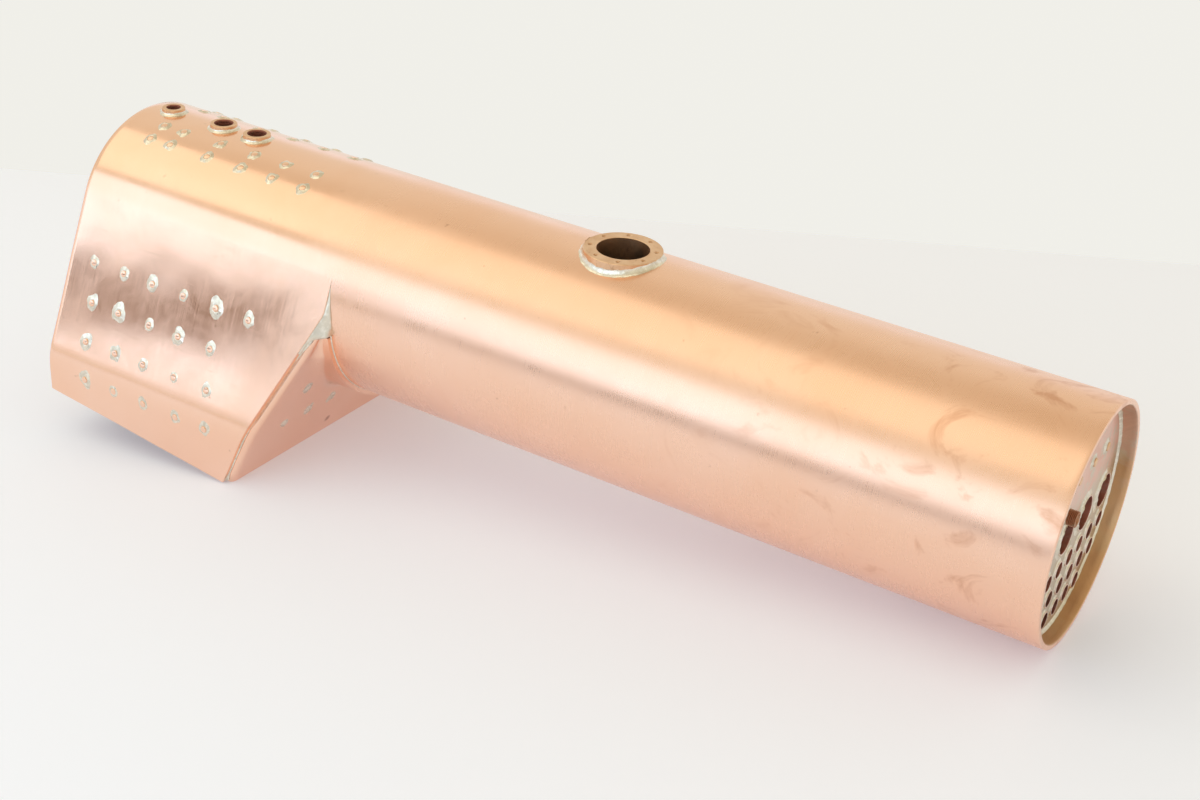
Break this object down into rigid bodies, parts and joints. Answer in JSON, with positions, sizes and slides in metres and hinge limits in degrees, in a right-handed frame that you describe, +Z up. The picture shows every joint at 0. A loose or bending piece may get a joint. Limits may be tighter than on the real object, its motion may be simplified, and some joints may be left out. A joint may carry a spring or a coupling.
{
  "type": "model locomotive boiler shell",
  "caption": "Silver-soldered copper boiler shell with a round barrel, a wide sloping-fronted firebox, fire tubes, flues and bronze bushes, for a live-steam model locomotive.",
  "frame": {"origin": "bottom centre of the whole shell's box, under the middle of its length", "axes": "+Z up through the dome, +X along the barrel's axis towards the open smokebox end, Y across"},
  "size_m": [0.6086, 0.1944, 0.1744],
  "materials": {
    "copper": "satin, brushed and lightly tarnished",
    "bronze": "turned, tarnished by soldering",
    "fired_copper": "matt, oxidised by heating"
  },
  "bodies": {
    "root": {"backhead": "copper", "barrel_wrapper": "copper", "dome_bush": "bronze", "feed_bush_left": "bronze", "feed_bush_right": "bronze", "fire_tube_1_1": "fired_copper", "fire_tube_1_2": "fired_copper", "fire_tube_1_3": "fired_copper", "fire_tube_1_4": "fired_copper", "fire_tube_1_5": "fired_copper", "fire_tube_1_6": "fired_copper", "fire_tube_1_7": "fired_copper", "fire_tube_2_1": "fired_copper", "fire_tube_2_2": "fired_copper", "fire_tube_2_3": "fired_copper", "fire_tube_2_4": "fired_copper", "fire_tube_2_5": "fired_copper", "fire_tube_2_6": "fired_copper", "fire_tube_3_1": "fired_copper", "fire_tube_3_2": "fired_copper", "fire_tube_3_3": "fired_copper", "fire_tube_3_4": "fired_copper", "firebox_doorplate": "fired_copper", "firebox_tubeplate": "fired_copper", "firebox_wrapper": "fired_copper", "firehole_ring": "fired_copper", "flue_1": "fired_copper", "flue_2": "fired_copper", "flue_3": "fired_copper", "flue_4": "fired_copper", "foundation_bar_front": "fired_copper", "foundation_bar_left": "fired_copper", "foundation_bar_rear": "fired_copper", "foundation_bar_right": "fired_copper", "gauge_bush_bottom": "bronze", "gauge_bush_top": "bronze", "longitudinal_stay_1": "bronze", "longitudinal_stay_2": "bronze", "longitudinal_stay_3": "bronze", "longitudinal_stay_4": "bronze", "regulator_bush": "bronze", "safety_valve_bush_front": "bronze", "safety_valve_bush_rear": "bronze", "smokebox_tubeplate": "fired_copper", "steam_outlet_nipple": "bronze", "throatplate": "copper", "turret_bush": "bronze"}
  },
  "joints": []
}
